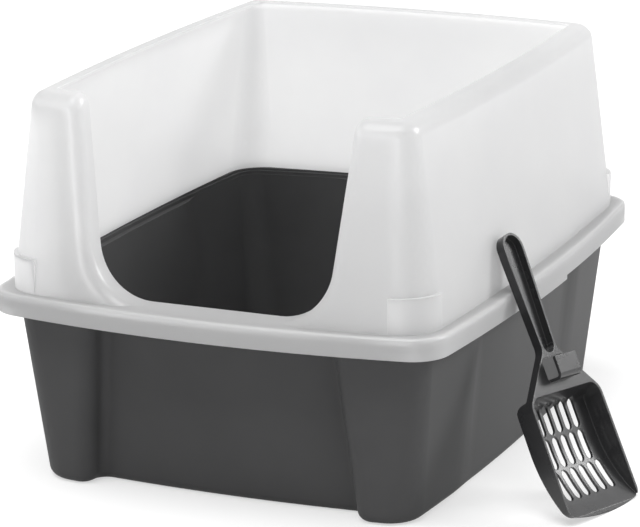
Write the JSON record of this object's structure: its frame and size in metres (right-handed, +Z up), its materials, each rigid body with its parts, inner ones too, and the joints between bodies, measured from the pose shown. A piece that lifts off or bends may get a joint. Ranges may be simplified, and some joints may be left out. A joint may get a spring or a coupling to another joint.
{
  "type": "high-sided litter box",
  "caption": "Deep open tray with a tall frosted shield that caps its rim and has a U-shaped entry, and a slotted scoop that leans on one side.",
  "frame": {"origin": "middle of the tray's flat underside, on the floor", "axes": "+Z up, entry faces -Y, +X to the right seen from the entry"},
  "size_m": [0.4744, 0.4788, 0.3017],
  "materials": {
    "tray_plastic": "satin, fine grain",
    "shield_plastic": "frosted, translucent",
    "scoop_plastic": "semi-gloss"
  },
  "bodies": {
    "tray": {"tray": "tray_plastic"},
    "shield": {"shield": "shield_plastic"},
    "scoop": {"scoop": "scoop_plastic"}
  },
  "joints": [
    {"name": "shield_lift", "type": "slide", "parent": "tray", "child": "shield", "axis": [0, 0, 1], "range_m": [0, 0.06]},
    {"name": "scoop_lift", "type": "slide", "parent": "shield", "child": "scoop", "axis": [0, 0, 1], "range_m": [0, 0.15]}
  ]
}
